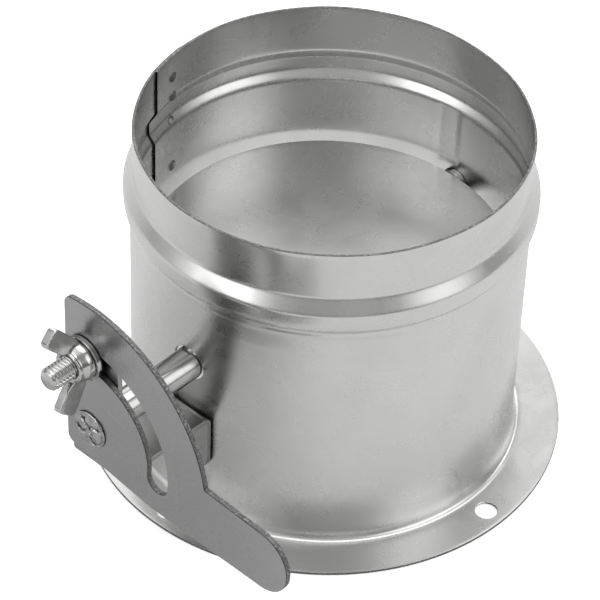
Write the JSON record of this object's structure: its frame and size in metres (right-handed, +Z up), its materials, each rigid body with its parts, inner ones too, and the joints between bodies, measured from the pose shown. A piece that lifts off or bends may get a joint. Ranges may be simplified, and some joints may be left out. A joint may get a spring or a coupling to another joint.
{
  "type": "manual duct damper",
  "caption": "Flanged round duct collar with a disc blade on a shaft, turned by a slotted hand lever and held by a wing nut.",
  "frame": {"origin": "centre of the flange's hole circle, on the flange's underside", "axes": "+Z up the duct from the flange to the plain collar; the shaft lies along Y with the lever at -Y, and the handle points to +X with the blade shut"},
  "size_m": [0.1276, 0.1584, 0.0933],
  "materials": {
    "galvanised_sheet": "satin zinc-coated sheet with soft reflections",
    "blade_sheet": "satin zinc-coated sheet",
    "lever_plate": "smooth zinc-plated plate",
    "shaft_steel": "drawn bright bar",
    "zinc_fastener": "bright zinc plate"
  },
  "bodies": {
    "duct": {"duct_body": "galvanised_sheet", "bracket": "galvanised_sheet", "clamp_stud": "zinc_fastener", "flat_washer": "zinc_fastener"},
    "damper": {"shaft": "shaft_steel", "blade": "blade_sheet", "lever": "lever_plate", "retaining_ring": "zinc_fastener"},
    "nut": {"wing_nut": "zinc_fastener"}
  },
  "joints": [
    {"name": "damper_turn", "type": "hinge", "parent": "duct", "child": "damper", "pos_m": [0, 0, 0.0469], "axis": [0, -1, 0], "range_deg": [0, 90]},
    {"name": "nut_turn", "type": "hinge", "parent": "duct", "child": "nut", "pos_m": [-0.00119, -0.085, 0.06967], "axis": [0, -1, 0], "range_deg": [0, 270]}
  ]
}
